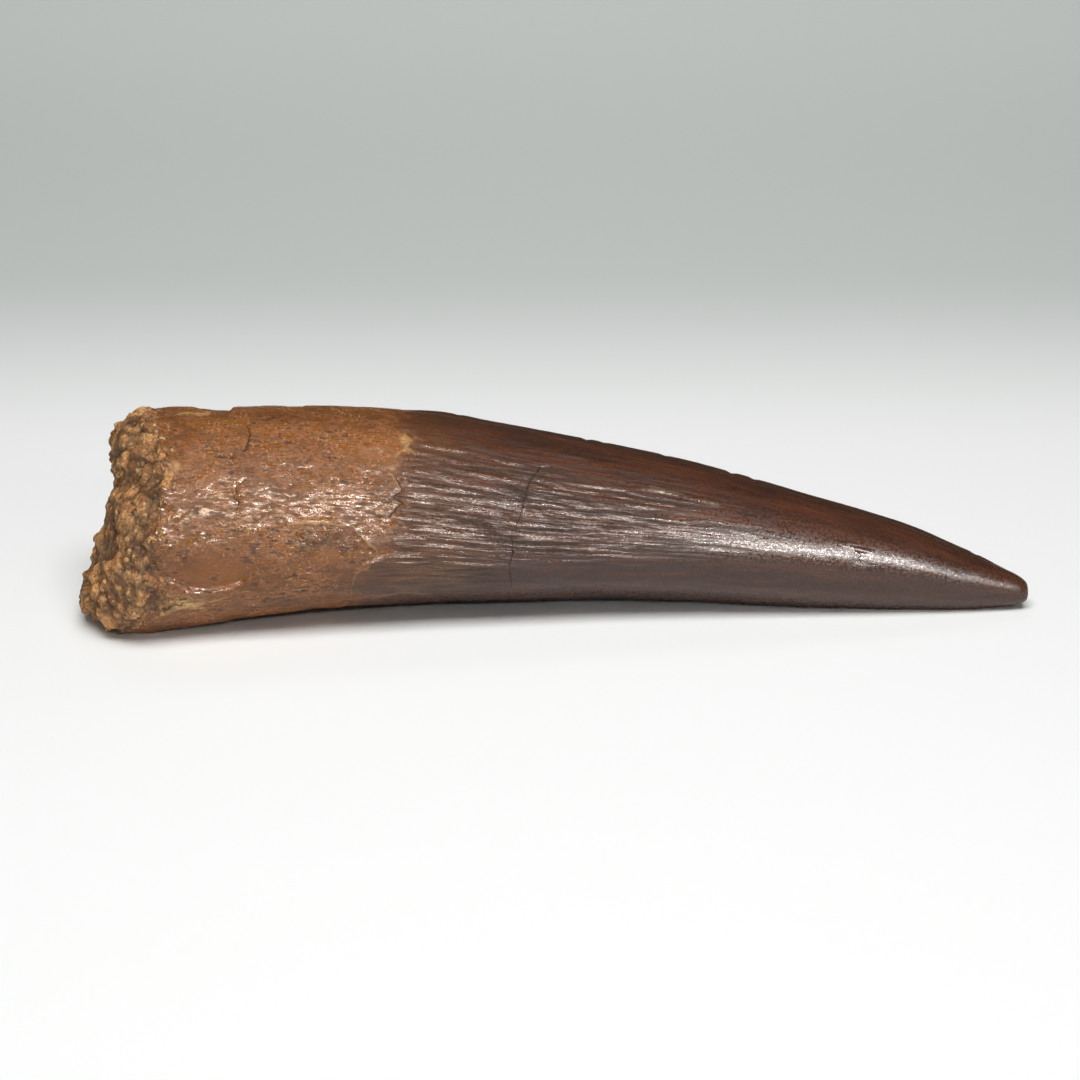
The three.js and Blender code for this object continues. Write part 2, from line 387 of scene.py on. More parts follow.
def leaning(vectors):
    """Vectors of the part's frame turned into the tooth's leaning frame."""
    x, y, z = vectors.T
    return np.column_stack((x, y * LEAN_SINE + z * LEAN_COSINE, z * LEAN_SINE - y * LEAN_COSINE))


class Surface:
    """The tooth's points in its own leaning frame, in millimetres: along, across and towards the face."""

    def __init__(self, tube):
        self.mesh = tube.data
        block = self.read("co") / MM
        self.turn = np.arctan2(block[:, 2], -block[:, 1])
        self.reach = np.clip(np.hypot(block[:, 1], block[:, 2]) / BLOCK_RADIUS, 0, 1)
        self.on_break = block[:, 0] < 1e-3
        self.rim = rim_place(self.turn)
        block_along = block[:, 0]
        share = np.clip(block_along / SIDE_START, 0, 1)
        self.along = np.where(
            block_along < SIDE_START, self.rim + (SIDE_START - self.rim) * share, block_along
        )
        self.hollow_shade = np.zeros(len(block))
        self.place()

    def read(self, name):
        """One vector of every point of the mesh, such as its place or its normal."""
        flat = np.empty(len(self.mesh.vertices) * 3)
        self.mesh.vertices.foreach_get(name, flat)
        return flat.reshape(-1, 3)

    def place(self):
        """Lays the block-out's points over the tooth's outline and its broken end."""
        across_from, face_from = outline_from(self.along, self.turn)
        middle, bend, _, _ = section(self.along)
        side = np.column_stack((self.along, middle + across_from, bend + face_from))
        rim_across, rim_face = outline_from(self.rim, self.turn)
        break_middle, break_bend, _, _ = section(np.full_like(self.rim, BREAK_SECTION))
        rim_middle, rim_bend, _, _ = section(self.rim)
        blend = self.reach**4
        across = break_middle + blend * (rim_middle - break_middle) + self.reach * rim_across
        face = self.reach * rim_face
        end = np.column_stack((
            break_place(across, face, self.reach), across, face + break_bend + blend * (rim_bend - break_bend)
        ))
        self.points = np.where(self.on_break[:, None], end, side)
        self.write()

    def to_table(self):
        """The points in the part's frame, in metres, kept above the table."""
        along, across, face = self.points.T
        placed = np.column_stack((
            along, across * LEAN_SINE - face * LEAN_COSINE, across * LEAN_COSINE + face * LEAN_SINE
        ))
        placed -= LEAN_ORIGIN
        placed[:, 2] = np.maximum(placed[:, 2], 0)
        return placed * MM

    def from_table(self):
        """Reads the points back from the mesh after a modifier has moved them."""
        self.points = leaning(self.read("co") / MM + LEAN_ORIGIN)

    def write(self):
        """Puts the points into the mesh."""
        self.mesh.vertices.foreach_set("co", self.to_table().ravel())
        self.mesh.update()

    def raise_by(self, height):
        """Moves every point out along its normal by a height."""
        self.points = self.points + leaning(self.read("normal")) * height[:, None]
        self.write()

    def keep(self, name, values):
        """Stores values on the mesh's points for the material to read."""
        attribute = self.mesh.attributes.new(name, "FLOAT", "POINT")
        attribute.data.foreach_set("value", values.astype(np.float32))

    def keep_vector(self, name, values):
        """Stores a vector on each of the mesh's points."""
        attribute = self.mesh.attributes.new(name, "FLOAT_VECTOR", "POINT")
        attribute.data.foreach_set("vector", values.astype(np.float32).ravel())


def flow_coordinates(surface):
    """Coordinates that run lengthwise with the tooth's grain as it narrows to the tip."""
    return np.column_stack((
        surface.along, FLOW_RADIUS * np.cos(surface.turn), FLOW_RADIUS * np.sin(surface.turn)
    ))


def paint_masks(surface):
    """Where the crust, the crown, the fine lines and the stains lie, with painted shade on the top added to
    the umber stains.
    """
    points, turn, flow = surface.points, surface.turn, flow_coordinates(surface)
    past_rim = np.where(surface.on_break, -5.0, surface.along - surface.rim)
    ragged = 0.9 * noise_at(points, 2.2, 1) + 0.5 * noise_at(points, 0.9, 2)
    surface.crust_side = np.clip(past_rim + ragged - by_turn(CRUST_REACH, turn), -3, 3)
    surface.crust = 1 - smoothstep(surface.crust_side, -0.6, 0.8)
    feather = noise_at(flow * (0.16, 0.8, 0.8), 1.0, 3)
    surface.crown_side = np.clip(
        surface.along - by_turn(CROWN_EDGE, turn) + 0.6 * noise_at(points, 1.6, 4) + 1.6 * feather, -15, 15
    )
    surface.crown = smoothstep(surface.crown_side, -0.6, 0.8)
    surface.front = smoothstep(np.cos(turn), -0.05, 0.12)
    surface.patch = 0.5 + 0.45 * noise_at(points, 5.0, 18) + 0.3 * noise_at(points, 2.4, 19)
    surface.streak = 0.5 + 0.5 * noise_at(flow * (0.1, 0.5, 0.5), 1.0, 21)
    surface.streak += 0.3 * noise_at(flow * (0.2, 1, 1), 1.0, 22)
    surface.crack, surface.crack_near = nearest_line(surface, CRACKS)
    surface.ridge, surface.ridge_near = nearest_line(surface, [path for path, _ in RIDGES])
    shift = np.column_stack([noise_at(points, 2.4, 30 + axis) for axis in range(3)])
    surface.stains = {kind: np.zeros(len(points)) for *_, kind, _ in STAINS}
    # Painted shade: the top of the tooth is darkened through the umber stain channel, on top of the real
    # umber stains.
    surface.stains["umber_and_top_shade"] = 0.3 * smoothstep(np.sin(turn), 0.72, 0.98)
    for along, across, half_length, half_width, kind, strength in STAINS:
        away = points + 0.9 * shift - on_face(along, across)
        far = np.sqrt((away[:, 0] / half_length) ** 2 + (away[:, 1] ** 2 + away[:, 2] ** 2) / half_width**2)
        surface.stains[kind] = np.maximum(surface.stains[kind], strength * (1 - smoothstep(far, 0.4, 1.3)))


def nearest_line(surface, paths):
    """Signed distance to the nearest of several lines on the outer face, and where it is near."""
    nearest = np.full(len(surface.points), LINE_REACH)
    for path in paths:
        side = side_of_path(surface.points[:, :2], path)
        nearest = np.where(np.abs(side) < np.abs(nearest), side, nearest)
    near = np.where(np.cos(surface.turn) > -0.1, 1 - smoothstep(np.abs(nearest), 0.7, 1.5), 0)
    return nearest, near


def sculpt_root(surface):
    """Waves, flakes, pits and chips of the root, and the fine lines of the whole face."""
    points, along = surface.points, surface.along
    root = (1 - surface.crown) * (1 - surface.crust)
    height = ROOT_WAVES * noise_at(points, 6.5, 5) + ROOT_RIPPLES * noise_at(points, 2.2, 6)
    height += FLAKE_STEP * smoothstep(noise_at(points * (0.6, 1, 1), 2.4, 7), 0.0, 0.12)
    height += ROOT_GRAIN * noise_at(points, 0.8, 9)
    pits = smoothstep(noise_at(points, 0.95, 8), 0.46, 0.7)
    height -= ROOT_PIT_DEPTH * pits
    top = 1 - smoothstep(np.abs(surface.turn - UP), 0.25, 0.75)
    notch = smoothstep(along, *NOTCH_START) * (1 - smoothstep(along, *NOTCH_END)) * top
    height -= NOTCH_DEPTH * notch
    # Painted shade: the root's pits are marked for darkening in the material.
    surface.hollow_shade = np.maximum(surface.hollow_shade, 0.6 * pits * root)
    low, high = (np.interp(along, SCOOP[:, 0], SCOOP[:, edge]) for edge in (1, 2))
    scoop = smoothstep(points[:, 1] - low, -0.1, 0.35) * (1 - smoothstep(points[:, 1] - high, -2.4, 0.5))
    scoop *= smoothstep(along, *SCOOP_START) * (1 - smoothstep(along, *SCOOP_END)) * surface.front
    surface.scoop = scoop
    fine = np.zeros(len(points))
    for path, tall in RIDGES:
        side = side_of_path(points[:, :2], path)
        fine = np.maximum(fine, tall * np.exp(-((side / RIDGE_WIDTH) ** 2)))
    fine -= CRACK_DEPTH * np.exp(-((surface.crack / CRACK_WIDTH) ** 2))
    surface.raise_by(root * height * (1 - 0.8 * scoop) - SCOOP_DEPTH * scoop + surface.front * fine)


def sculpt_crown(surface, shape):
    """The crown's step on the root, its lengthwise flutes and its two cutting edges."""
    flow, along = flow_coordinates(surface), surface.along
    turn = np.degrees(surface.turn)
    wave = 0.35 * noise_at(surface.points, 5.0, 12)
    flow[:, 1:] += wave[:, None]
    ridge = 1 - np.abs(noise_at(flow * (0.07, 1.3, 1.3), 1.0, 10)) * 2.2
    fine = 1 - np.abs(noise_at(flow * (0.1, 2.1, 2.1), 1.0, 11)) * 2.0
    fade = surface.crown * (1 - smoothstep(along, *FLUTE_END))
    ragged_turn = turn + 9 * noise_at(surface.points, 4.0, 23)
    lower = smoothstep(along, *SMOOTH_FLANK_START) * (1 - smoothstep(ragged_turn, *SMOOTH_FLANK_TO))
    front = smoothstep(turn, *FLUTES_FROM) * (1 - smoothstep(turn, *FLUTES_TO))
    surface.fluted = fade * (0.3 + 0.7 * front) * (1 - 0.85 * lower)
    height = shape.flute_height / MM * surface.fluted * (np.clip(ridge, 0, 1) ** 1.3 - 0.35)
    height += 0.45 * shape.flute_height / MM * surface.fluted * (np.clip(fine, 0, 1) ** 2 - 0.3)
    away = np.minimum(np.abs(surface.turn - UP), np.abs(surface.turn + UP))
    nicks = 1 - 0.6 * smoothstep(noise_at(surface.points, 1.1, 13), 0.35, 0.6)
    edge_fade = smoothstep(surface.crown_side, 0, 5) * (1 - smoothstep(along, *TIP_START))
    height += shape.edge_height / MM * edge_fade * nicks * np.exp(-((away / EDGE_WIDTH) ** 2))
    height += CROWN_STEP * surface.crown * (1 - smoothstep(along, *TIP_START))
    height += CROWN_WAVES * surface.crown * noise_at(surface.points, 3.5, 17)
    # The upper edge's band, darkened in the material partly as painted shade.
    surface.keel = surface.crown * np.exp(-(((surface.turn - UP) / KEEL_WIDTH) ** 2))
    surface.raise_by(height)


def sculpt_crust(surface, shape):
    """Cobbles, pits and grains of the sandstone on the broken end."""
    chosen = np.nonzero(surface.crust > 0)[0]
    points = surface.points[chosen]
    bent = points + 0.5 * np.column_stack([noise_at(points, 1.4, 40 + axis) for axis in range(3)])
    large, tone = cobbles_at(bent, COBBLE_SIZE, 3.0)
    small, grain_tone = cobbles_at(bent, SMALL_COBBLE_SIZE, 5.0)
    pits = smoothstep(noise_at(points, 2.1, 16), 0.2, 0.55)
    lumps = 0.7 * smoothstep(large, 0.0, 0.6) + 0.3 * smoothstep(small, 0.0, 0.5) - 0.4
    lumps += 0.5 * noise_at(points, 3.2, 14) + 0.1 * noise_at(points, 0.6, 15)
    height = np.zeros(len(surface.points))
    height[chosen] = surface.crust[chosen] * (shape.lump_height / MM * lumps - CRUST_PIT_DEPTH * pits)
    gaps = 1 - smoothstep(large, 0.02, 0.22) + 0.5 * (1 - smoothstep(small, 0.02, 0.2)) + pits
    # Painted shade: the crust's gaps and pits are marked for darkening in the material.
    surface.hollow_shade[chosen] = np.maximum(surface.hollow_shade[chosen], surface.crust[chosen] * np.clip(gaps, 0, 1))
    top = np.where(surface.on_break, 0, smoothstep(np.sin(surface.turn), 0.75, 0.97))
    height *= 1 - 0.75 * top
    for across, width, shift in CRUST_SWELLS:
        swell = shift * np.exp(-(((surface.points[:, 1] - across) / width) ** 2))
        surface.points[:, 0] += swell * surface.crust * np.where(surface.on_break, 1, surface.crust * 0.7)
    surface.write()
    surface.tone = np.full(len(surface.points), 0.5)
    surface.tone[chosen] = 0.7 * tone + 0.3 * grain_tone
    surface.raise_by(height)


def wrap_crust_on_solid(tooth, surface):
    """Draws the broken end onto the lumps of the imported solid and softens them."""
    group = tooth.vertex_groups.new(name="crust")
    reach = 1 - smoothstep(np.where(surface.on_break, -5.0, surface.along - surface.rim), 0.5, 4.0)
    for step in range(1, 11):
        chosen = np.nonzero(np.ceil(reach * 10) == step)[0]
        group.add(chosen.tolist(), step / 10, "REPLACE")
    apply_modifier(tooth, "SHRINKWRAP", target=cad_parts["tooth"], vertex_group="crust")
    apply_modifier(tooth, "SMOOTH", factor=0.5, iterations=4, vertex_group="crust")
    tooth.vertex_groups.clear()
    surface.from_table()


class NodeTree:
    """Adds nodes to a tree and joins them, so that a material reads as a list of steps."""

    def __init__(self, tree):
        self.tree = tree

    def add(self, kind, inputs=(), **settings):
        """A new node with its settings and its inputs."""
        node = self.tree.nodes.new(kind)
        for name, value in settings.items():
            setattr(node, name, value)
        for name, value in dict(inputs).items():
            self.feed(node.inputs[name], value)
        return node

    def feed(self, socket, value):
        """Links an output to a socket, or sets the socket to a value."""
        if isinstance(value, bpy.types.NodeSocket):
            self.tree.links.new(value, socket)
        else:
            socket.default_value = value

    def math(self, operation, first, second=0.0, clamp=False):
        node = self.add("ShaderNodeMath", {0: first, 1: second}, operation=operation, use_clamp=clamp)
        return node.outputs[0]

    def mix(self, factor, first, second):
        """A colour from first to second, each an output or a plain colour."""
        node = self.add("ShaderNodeMix", data_type="RGBA")
        self.feed(node.inputs[0], factor)
        for index, colour in ((6, first), (7, second)):
            plain = not isinstance(colour, bpy.types.NodeSocket)
            self.feed(node.inputs[index], (*colour, 1.0) if plain else colour)
        return node.outputs[2]

    def span(self, value, low, high, to_low=0.0, to_high=1.0):
        """A value's stretch from low to high laid onto another stretch."""
        inputs = {"Value": value, "From Min": low, "From Max": high, "To Min": to_low, "To Max": to_high}
        return self.add("ShaderNodeMapRange", inputs).outputs[0]

    def noise(self, vector, scale, detail=3.0, roughness=0.55):
        inputs = {"Vector": vector, "Scale": scale, "Detail": detail, "Roughness": roughness}
        return self.add("ShaderNodeTexNoise", inputs).outputs["Fac"]

    def attribute(self, name, output="Fac"):
        return self.add("ShaderNodeAttribute", attribute_name=name).outputs[output]

    def stretched(self, vector, scale):
        return self.add("ShaderNodeMapping", {"Vector": vector, "Scale": scale}).outputs[0]

    def group(self, tree, **inputs):
        """A node group's outputs, with its inputs fed by name."""
        return self.add("ShaderNodeGroup", inputs, node_tree=tree).outputs


def new_group(name, inputs, outputs):
    """An empty shader node group with its sockets."""
    group = bpy.data.node_groups.new(name, "ShaderNodeTree")
    for title, kind in inputs:
        group.interface.new_socket(title, in_out="INPUT", socket_type=kind)
    for title, kind in outputs:
        group.interface.new_socket(title, in_out="OUTPUT", socket_type=kind)
    nodes = NodeTree(group)
    return group, nodes, nodes.add("NodeGroupInput").outputs, nodes.add("NodeGroupOutput").inputs


COLOUR, VALUE, VECTOR = "NodeSocketColor", "NodeSocketFloat", "NodeSocketVector"
MARKS = (
    "crust_side", "crown_side", "patch", "streak", "crack", "crack_near", "ridge",
    "ridge_near", "hollow_shade", "tone", "fluted", "keel", "scoop",
    "ochre", "pale", "umber_and_top_shade", "gold",
)


def hairline_group():
    """A thin wandering line where a signed distance passes through nought."""
    group, n, given, out = new_group(
        "hairline", (("Side", VALUE), ("Near", VALUE), ("Wander", VALUE), ("Patch", VALUE), ("Width", VALUE)),
        (("Mask", VALUE),),
    )
    wander = n.span(given["Wander"], 0.0, 1.0, -0.45, 0.45)
    thick = n.math("MULTIPLY", n.span(given["Patch"], 0.25, 0.75, 0.05, 1.2), given["Width"])
    off = n.math("ABSOLUTE", n.math("ADD", given["Side"], wander))
    n.feed(out["Mask"], n.math("MULTIPLY", given["Near"], n.span(off, thick, n.math("MULTIPLY", thick, 0.3))))
    return group


def root_group(finish):
    """Mottled brown dentine: flakes, fibres, pits and stains, darkened on the top by painted shade."""
    group, n, given, out = new_group(
        "root_dentine",
        (("Place", VECTOR), ("Flow", VECTOR), ("Grain", VALUE), ("Patch", VALUE), ("Ochre", VALUE),
         ("Pale", VALUE), ("Umber", VALUE), ("Scoop", VALUE)),
        (("Colour", COLOUR), ("Height", VALUE), ("Roughness", VALUE)),
    )
    flakes = n.noise(n.stretched(given["Place"], (0.7, 1.0, 1.0)), 0.75, 3.0, 0.65)
    specks = given["Grain"]
    fibres = n.noise(n.stretched(given["Flow"], (0.2, 1.0, 1.0)), 3.2, 3.0, 0.6)
    smooth_part = n.math("SUBTRACT", 1.0, n.math("MULTIPLY", given["Scoop"], 0.8))
    rough_part = n.math("MULTIPLY", smooth_part, n.span(given["Patch"], 0.3, 0.72, 0.3, 1.1))
    flaked = n.span(flakes, 0.5, 0.55)
    deep = n.span(flakes, 0.61, 0.66)
    colour = n.mix(n.span(given["Patch"], 0.2, 0.8), finish.root_brown, finish.root_tan)
    colour = n.mix(n.math("MULTIPLY", flaked, 0.75), colour, finish.root_rose)
    colour = n.mix(n.span(fibres, 0.52, 0.68, 0.0, 0.45), colour, finish.ochre)
    colour = n.mix(n.math("MULTIPLY", n.span(fibres, 0.47, 0.34), rough_part), colour, finish.root_dark)
    # The umber channel carries real stains and painted shade on the top.
    colour = n.mix(n.math("MULTIPLY", given["Umber"], 0.8), colour, finish.root_dark)
    colour = n.mix(n.math("MULTIPLY", given["Ochre"], 0.8), colour, finish.ochre)
    pale = n.math("MULTIPLY", given["Pale"], n.span(fibres, 0.35, 0.6, 0.35, 1.0))
    colour = n.mix(pale, colour, finish.pale)
    dark_specks = n.math("MULTIPLY", n.span(specks, 0.6, 0.72, 0.0, 0.85), rough_part)
    pale_specks = n.math("MULTIPLY", n.span(specks, 0.42, 0.3, 0.0, 0.5), rough_part)
    colour = n.mix(dark_specks, colour, finish.root_dark)
    colour = n.mix(pale_specks, colour, finish.pale)
    colour = n.mix(n.math("MULTIPLY", deep, 0.65), colour, finish.root_dark)
    n.feed(out["Colour"], colour)
    height = n.math("ADD", n.math("MULTIPLY", flaked, 0.015), n.math("MULTIPLY", deep, -0.04))
    height = n.math("ADD", height, n.math("MULTIPLY", flakes, 0.045))
    height = n.math("ADD", height, n.math("MULTIPLY", specks, -0.03))
    height = n.math("ADD", height, n.math("MULTIPLY", fibres, 0.02))
    n.feed(out["Height"], n.math("MULTIPLY", height, rough_part))
    gloss = n.span(fibres, 0.58, 0.46, finish.root_roughness - 0.04, finish.root_roughness + 0.5)
    n.feed(out["Roughness"], gloss)
    return group


def crown_group(finish):
    """Dark enamel with lengthwise reddish streaks and wavy lines, darkened on the top and on the upward side
    by painted shade, and a dark upper cutting edge that is partly painted shade.
    """
    group, n, given, out = new_group(
        "crown_enamel",
        (("Flow", VECTOR), ("Grain", VALUE), ("Streak", VALUE), ("Side", VALUE), ("Fluted", VALUE),
         ("Gold", VALUE), ("Umber", VALUE), ("Keel", VALUE)),
        (("Colour", COLOUR), ("Height", VALUE), ("Roughness", VALUE)),
    )
    lines = n.noise(n.stretched(given["Flow"], (0.09, 1.0, 1.0)), 2.3, 3.0, 0.65)
    hair = n.noise(n.stretched(given["Flow"], (0.14, 1.0, 1.0)), 5.5, 2.0, 0.6)
    specks = given["Grain"]
    colour = n.mix(n.span(given["Streak"], 0.25, 0.85, 0.1, 0.85), finish.crown_dark, finish.crown_red)
    facing = n.add("ShaderNodeSeparateXYZ", {0: given["Flow"]}).outputs[2]
    colour = n.mix(n.span(facing, 0.5, -4.5, 0.0, 0.42), colour, finish.crown_grey)
    colour = n.mix(n.span(given["Side"], 14.0, 0.0, 0.0, 0.5), colour, finish.root_brown)
    # Painted shade: the side of the crown facing up is darkened.
    colour = n.mix(n.span(facing, 9.5, 11.8, 0.0, 0.2), colour, finish.sand_dark_and_shade)
    gold = n.math("MULTIPLY", given["Gold"], n.span(lines, 0.48, 0.62, 0.1, 0.8))
    colour = n.mix(gold, colour, finish.crown_gold)
    # The umber channel carries real stains and painted shade on the top.
    colour = n.mix(n.math("MULTIPLY", given["Umber"], 0.8), colour, finish.sand_dark_and_shade)
    ground = n.span(given["Fluted"], 0.0, 1.0, 0.3, 0.85)
    colour = n.mix(n.math("MULTIPLY", n.span(lines, 0.46, 0.3), ground), colour, finish.sand_dark_and_shade)
    colour = n.mix(n.span(lines, 0.52, 0.7, 0.0, 0.25), colour, finish.root_rose)
    colour = n.mix(n.span(hair, 0.54, 0.72, 0.0, 0.32), colour, finish.root_brown)
    # Dark upper edge: partly the cutting edge's own dark colour, partly painted shade along the top rim.
    colour = n.mix(n.math("MULTIPLY", given["Keel"], 0.7), colour, finish.sand_dark_and_shade)
    n.feed(out["Colour"], colour)
    deep = n.span(given["Fluted"], 0.0, 1.0, 0.008, 0.13)
    height = n.math("ADD", n.math("MULTIPLY", lines, deep), n.math("MULTIPLY", hair, 0.012))
    height = n.math("ADD", height, n.math("MULTIPLY", specks, n.span(given["Fluted"], 0.0, 1.0, 0.03, 0.05)))
    n.feed(out["Height"], height)
    gloss = n.span(specks, 0.4, 0.58, finish.crown_roughness - 0.06, finish.crown_roughness + 0.14)
    matt = n.span(given["Fluted"], 0.0, 0.7, 0.15, 1.0)
    valley = n.math("MULTIPLY", n.span(lines, 0.56, 0.42, 0.0, 0.6), matt)
    gloss = n.math("ADD", gloss, n.math("ADD", valley, n.math("MULTIPLY", given["Keel"], 0.4)), clamp=True)
    n.feed(out["Roughness"], gloss)
    return group


def sandstone_group(finish):
    """Cemented sand: cobbles and grains of several browns, with painted shade in the gaps and hollows."""
    group, n, given, out = new_group(
        "sandstone",
        (("Place", VECTOR), ("Grain", VALUE), ("Patch", VALUE), ("Hollow", VALUE), ("Tone", VALUE)),
        (("Colour", COLOUR), ("Height", VALUE)),
    )
    grit = given["Grain"]
    cells = n.add("ShaderNodeTexVoronoi", {"Vector": given["Place"], "Scale": 2.0, "Randomness": 1.0})
    tone = n.add("ShaderNodeSeparateColor", {0: cells.outputs["Color"]}).outputs
    mixed = n.math("ADD", n.math("MULTIPLY", given["Tone"], 0.8), n.math("MULTIPLY", tone[0], 0.2))
    colour = n.mix(n.span(mixed, 0.36, 0.62), finish.sand_brown, finish.sand_tan)
    colour = n.mix(n.span(given["Patch"], 0.55, 0.8, 0.0, 0.45), colour, finish.sand_grey)
    colour = n.mix(n.span(tone[1], 0.7, 0.95, 0.0, 0.6), colour, finish.ochre)
    colour = n.mix(n.span(tone[2], 0.84, 0.92, 0.0, 0.9), colour, finish.pale)
    colour = n.mix(n.span(grit, 0.56, 0.68, 0.0, 0.75), colour, finish.sand_dark_and_shade)
    # Painted shade in the hollows.
    colour = n.mix(n.math("MULTIPLY", given["Hollow"], 0.68), colour, finish.sand_dark_and_shade)
    # Painted shade between the grains.
    colour = n.mix(n.span(cells.outputs["Distance"], 0.5, 0.8, 0.0, 0.35), colour, finish.sand_dark_and_shade)
    n.feed(out["Colour"], colour)
    grains = n.math("MULTIPLY", cells.outputs["Distance"], -0.18)
    n.feed(out["Height"], n.math("ADD", grains, n.math("MULTIPLY", grit, -0.09)))
    return group


def fossil_material(finish):
    """The whole tooth's material, laid out by the masks on its mesh."""
    material = bpy.data.materials.new("fossil_tooth")
    material.use_nodes = True
    material.node_tree.nodes.clear()
    n = NodeTree(material.node_tree)
    place = n.stretched(n.add("ShaderNodeTexCoord").outputs["Object"], (1 / MM, 1 / MM, 1 / MM))
    flow = n.attribute("flow", "Vector")
    marks = {name: n.attribute(name) for name in MARKS}
    grain = n.noise(place, 3.0, 2.0, 0.55)
    wander = n.noise(place, 1.3, 2.0)
    hairline = hairline_group()

    def line(name, width):
        return n.group(
            hairline, Side=marks[name], Near=marks[name + "_near"], Wander=wander, Patch=marks["patch"],
            Width=width,
        )["Mask"]

    root = n.group(
        root_group(finish), Place=place, Flow=flow, Grain=grain, Patch=marks["patch"], Ochre=marks["ochre"],
        Pale=marks["pale"], Umber=marks["umber_and_top_shade"], Scoop=marks["scoop"],
    )
    crown = n.group(
        crown_group(finish), Flow=flow, Grain=grain, Streak=marks["streak"], Side=marks["crown_side"],
        Fluted=marks["fluted"], Gold=marks["gold"], Umber=marks["umber_and_top_shade"], Keel=marks["keel"],
    )
    sand = n.group(
        sandstone_group(finish), Place=place, Grain=grain, Patch=marks["patch"], Hollow=marks["hollow_shade"],
        Tone=marks["tone"],
    )
    crack, ridge = line("crack", 0.11), line("ridge", 0.3)
    ragged = n.span(wander, 0.3, 0.7, -0.8, 0.8)
    on_crown = n.span(n.math("ADD", marks["crown_side"], n.math("MULTIPLY", ragged, 1.5)), -1.6, 1.6)
    on_crust = n.span(n.math("ADD", marks["crust_side"], n.span(wander, 0.36, 0.64, -2.0, 1.5)), 0.55, -0.55)
    colour = n.mix(on_crown, root["Colour"], crown["Colour"])
    colour = n.mix(on_crust, colour, sand["Colour"])
    # Raised lines painted pale: partly their own pale edge colour, partly painted highlight along their
    # crests.
    colour = n.mix(n.math("MULTIPLY", ridge, n.span(on_crown, 0.0, 1.0, 0.35, 0.08)), colour, finish.pale)
    # Painted shade in the root's pits, beside the dark crack lines.
    hollow_shade = n.math("MULTIPLY", marks["hollow_shade"], n.math("SUBTRACT", 0.6, n.math("MULTIPLY", on_crust, 0.6)))
    colour = n.mix(n.math("MAXIMUM", n.math("MULTIPLY", crack, 0.72), hollow_shade), colour, finish.sand_dark_and_shade)

    def blended(name, crust_value):
        two = n.add("ShaderNodeMix", {0: on_crown, 2: root[name], 3: crown[name]}).outputs[0]
        return n.add("ShaderNodeMix", {0: on_crust, 2: two, 3: crust_value}).outputs[0]

    height = n.math("ADD", blended("Height", sand["Height"]), n.math("MULTIPLY", crack, -0.12))
    bump = n.add("ShaderNodeBump", {"Height": height, "Strength": 1.0, "Distance": MM})
    shader = n.add("ShaderNodeBsdfPrincipled", {
        "Base Color": colour,
        "Roughness": blended("Roughness", finish.sand_roughness),
        "Normal": bump.outputs[0],
    })
    n.add("ShaderNodeOutputMaterial", {"Surface": shader.outputs[0]})
    return material


class ToothShape(bpy.types.PropertyGroup):
    """Relief of the tooth's surface."""

    flute_height: bpy.props.FloatProperty(
        name="Flute height", description="Height of the crown's lengthwise flutes",
        default=0.00018, unit="LENGTH",
    )
    edge_height: bpy.props.FloatProperty(
        name="Cutting edge", description="Height of the crown's two thin edges", default=0.0003, unit="LENGTH"
    )
    lump_height: bpy.props.FloatProperty(
        name="Lump height", description="Height of the sandstone lumps on the root",
        default=0.00082, unit="LENGTH",
    )


def colour_property(name, description, default):
    return bpy.props.FloatVectorProperty(
        name=name, description=description, default=default, size=3, min=0, max=1, subtype="COLOR"
    )


def share_property(name, description, default):
    return bpy.props.FloatProperty(
        name=name, description=description, default=default, min=0, max=1, subtype="FACTOR"
    )


class ToothFinish(bpy.types.PropertyGroup):
    """Colours and gloss of the fossil."""

    root_tan: colour_property("Root tan", "Light dentine of the root", srgb(146, 91, 42))
    root_brown: colour_property("Root brown", "Common dentine of the root", srgb(110, 66, 30))
    root_rose: colour_property("Root rose", "Pinkish flakes on the root", srgb(154, 95, 56))
    # Root dark is also the colour of the painted shade on the root's top.
    root_dark: colour_property("Root dark", "Dark patches of the root", srgb(64, 38, 20))
    ochre: colour_property("Ochre", "Iron stain on root and sandstone", srgb(150, 91, 40))
    pale: colour_property("Pale", "Bleached edges and pale grains", srgb(222, 178, 118))
    crown_dark: colour_property("Crown dark", "Dark enamel", srgb(56, 34, 26))
    crown_red: colour_property("Crown red", "Reddish streaks in the enamel", srgb(90, 51, 35))
    crown_gold: colour_property("Crown gold", "Olive gold ridges low on the crown", srgb(132, 92, 48))
    crown_grey: colour_property("Crown grey", "Worn greyish enamel", srgb(74, 60, 57))
    sand_tan: colour_property("Sand tan", "Light sandstone", srgb(214, 153, 94))
    sand_brown: colour_property("Sand brown", "Brown sandstone", srgb(144, 95, 52))
    sand_grey: colour_property("Sand grey", "Olive grey sandstone", srgb(150, 128, 90))
    # Sand dark is the dark of the grains, cracks and lines, and also the colour of painted shade in hollows,
    # between grains and along the top.
    sand_dark_and_shade: colour_property("Sand dark", "Dark between the grains and in cracks", srgb(44, 30, 21))
    root_roughness: share_property("Root roughness", "Roughness of the dentine", 0.22)
    crown_roughness: share_property("Crown roughness", "Roughness of the enamel", 0.22)
    sand_roughness: share_property("Sand roughness", "Roughness of the sandstone", 0.85)


